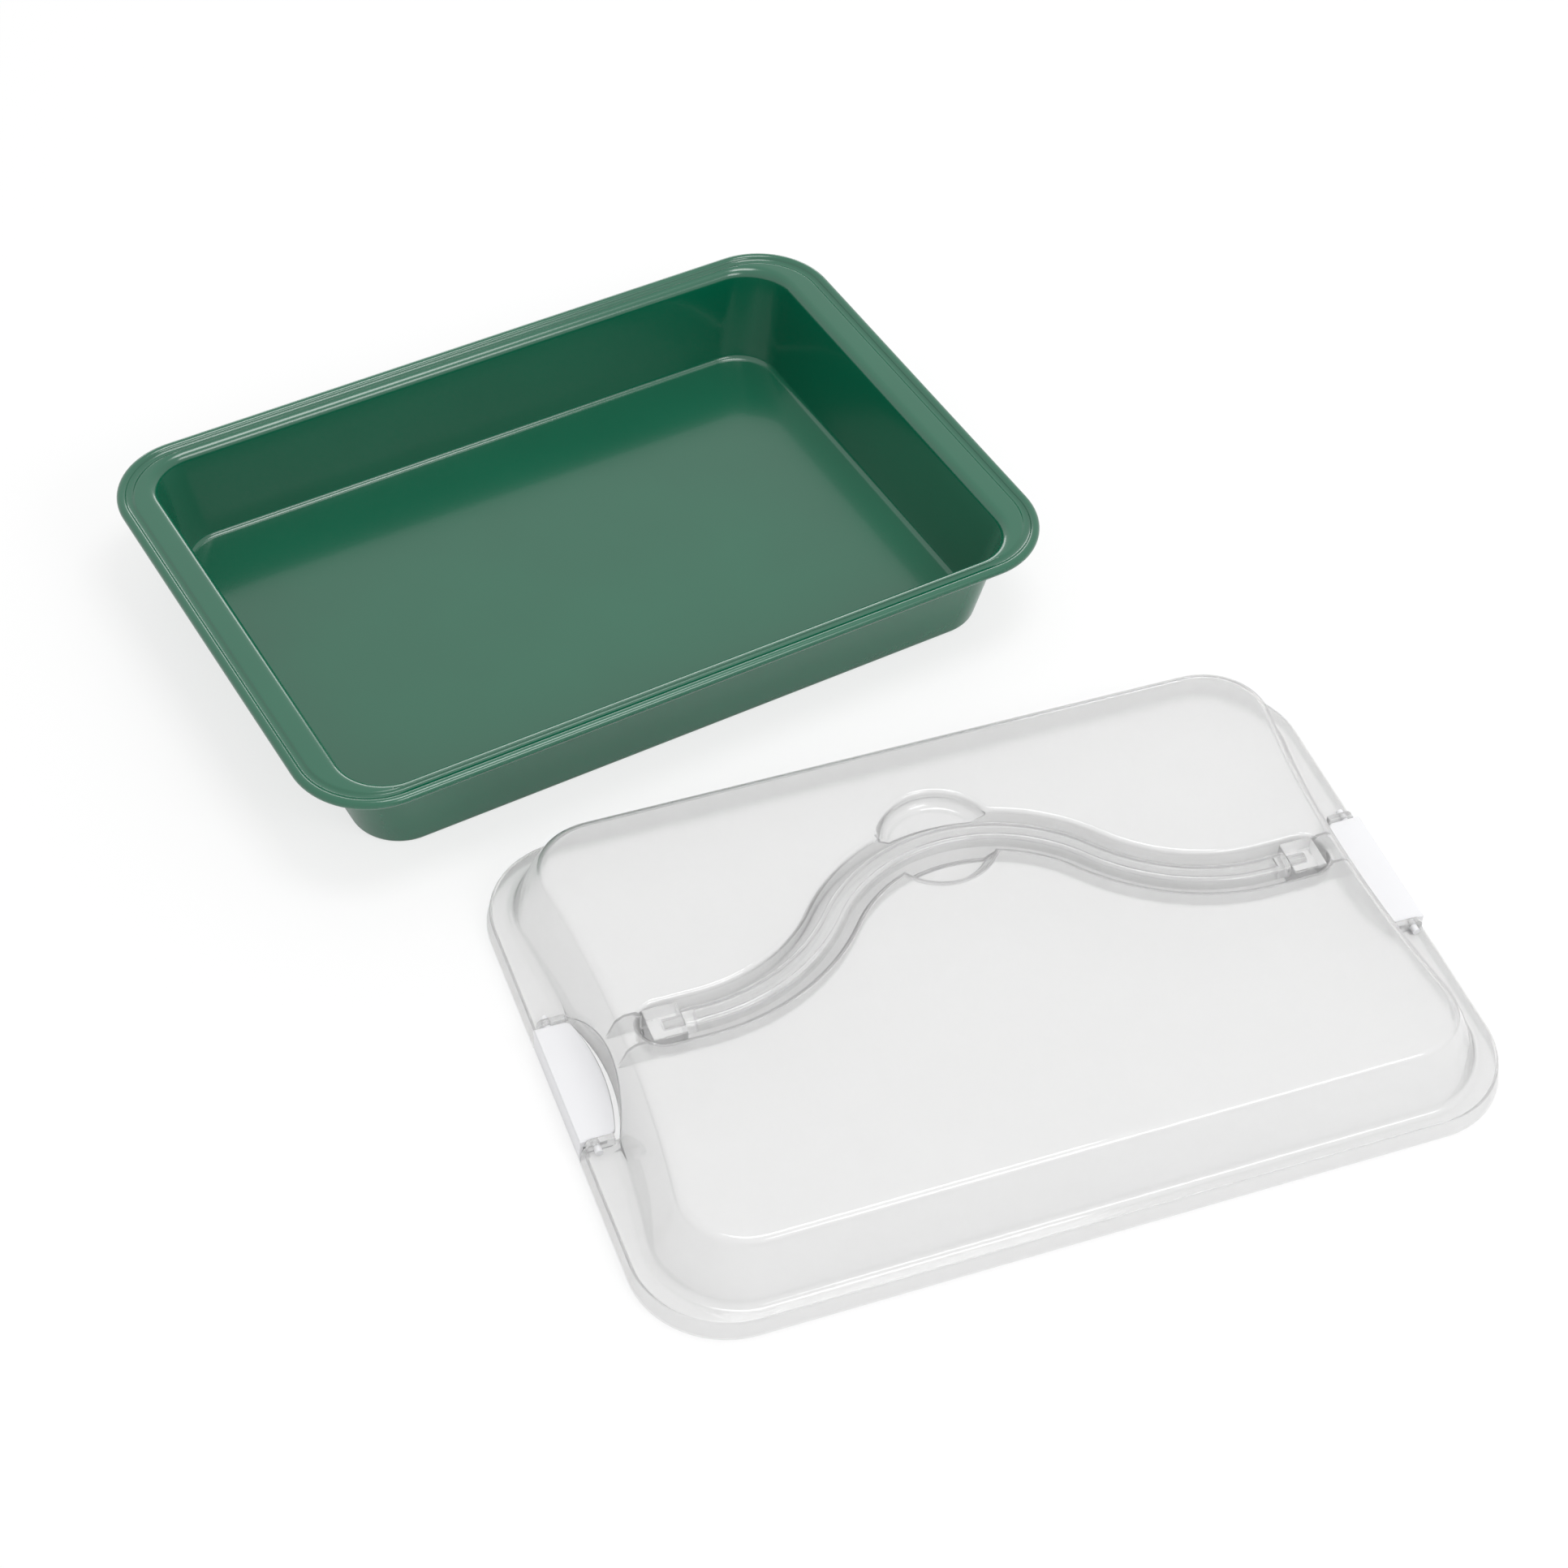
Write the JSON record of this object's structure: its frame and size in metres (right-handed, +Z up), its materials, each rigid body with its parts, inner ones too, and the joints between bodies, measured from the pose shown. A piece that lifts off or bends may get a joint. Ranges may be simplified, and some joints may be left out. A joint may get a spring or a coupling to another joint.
{
  "type": "cake pan with lid",
  "caption": "Rectangular coated steel cake pan with a rolled flat rim, and its clear domed carrying lid with a bell-shaped fold-down handle and rocking end latches, taken off beside it.",
  "frame": {"origin": "middle of the pan's flat underside, on the surface that it stands on", "axes": "+Z up, X along the pan's length, Y across it; the lid stands on the same surface on the -Y side, turned 10 degrees"},
  "size_m": [0.4774, 0.6617, 0.056],
  "materials": {
    "pan_coating": "dark green non-stick coating on sheet steel, semi-gloss with a fine pebble",
    "lid_clear": "clear, slightly milky moulded plastic",
    "handle_clear": "clear, slightly milky moulded plastic",
    "latch_white": "white moulded plastic, satin"
  },
  "bodies": {
    "pan_and_lid": {"cake_pan": "pan_coating", "lid_shell": "lid_clear"},
    "handle": {"carry_handle": "handle_clear"},
    "left_latch": {"latch_left": "latch_white"},
    "right_latch": {"latch_right": "latch_white"}
  },
  "joints": [
    {"name": "handle_fold", "type": "hinge", "parent": "pan_and_lid", "child": "handle", "pos_m": [0.038, -0.34, 0.036], "axis": [0.9848, -0.1736, 0], "range_deg": [0, 90]},
    {"name": "left_latch_rock", "type": "hinge", "parent": "pan_and_lid", "child": "left_latch", "pos_m": [-0.16546, -0.30412, 0.0122], "axis": [0.1736, 0.9848, 0], "range_deg": [0, 18]},
    {"name": "right_latch_rock", "type": "hinge", "parent": "pan_and_lid", "child": "right_latch", "pos_m": [0.24146, -0.37588, 0.0122], "axis": [-0.1736, -0.9848, 0], "range_deg": [0, 18]}
  ]
}
